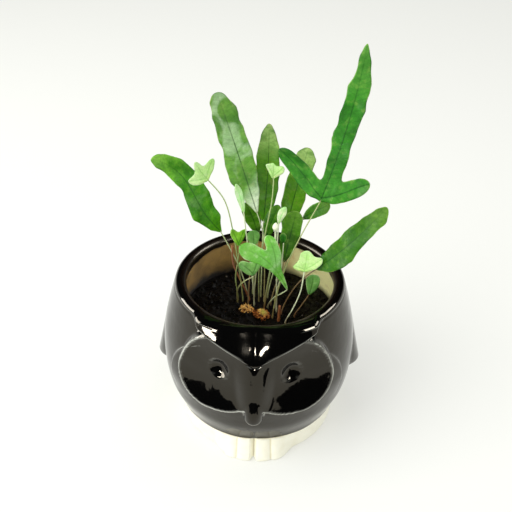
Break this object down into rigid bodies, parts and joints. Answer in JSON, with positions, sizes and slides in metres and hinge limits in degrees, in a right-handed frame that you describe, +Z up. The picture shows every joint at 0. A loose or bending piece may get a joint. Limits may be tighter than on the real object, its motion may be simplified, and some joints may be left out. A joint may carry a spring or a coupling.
{
  "type": "potted blue star fern",
  "caption": "Young blue star fern with strap-shaped and lobed fronds on wiry stalks, growing in soil in a glazed ceramic planter shaped like an owl.",
  "frame": {"origin": "middle of the pot's flat base, on the surface it stands on", "axes": "+Z up along the pot's axis, -Y the way the owl's face looks, +X to the right of someone who looks at the face"},
  "size_m": [0.1203, 0.1153, 0.2198],
  "materials": {
    "black_glaze": "gloss",
    "potting_soil": "matte",
    "rhizome_bark": "matte",
    "dead_stalk": "matte",
    "green_leaf": "satin",
    "pale_leaf": "satin",
    "blue_green_leaf": "satin",
    "dark_leaf": "satin",
    "bright_leaf": "satin",
    "lime_leaf": "satin"
  },
  "bodies": {
    "root": {"dead_stalk_front": "dead_stalk", "dead_stalk_left": "dead_stalk", "frond_back_right": "green_leaf", "frond_centre": "green_leaf", "frond_left": "green_leaf", "frond_low_right": "green_leaf", "frond_mid_centre": "green_leaf", "frond_mid_left": "dark_leaf", "frond_mid_right": "green_leaf", "frond_right": "green_leaf", "frond_tall_left": "pale_leaf", "frond_three_lobed": "blue_green_leaf", "owl_pot": "black_glaze", "rhizome": "rhizome_bark", "soil": "potting_soil", "young_bud": "lime_leaf", "young_centre": "lime_leaf", "young_dark_right": "dark_leaf", "young_folded": "lime_leaf", "young_front": "bright_leaf", "young_left": "green_leaf", "young_lime": "lime_leaf", "young_low_left": "bright_leaf", "young_narrow": "lime_leaf", "young_round": "dark_leaf", "young_star_left": "lime_leaf", "young_teal": "blue_green_leaf"}
  },
  "joints": []
}
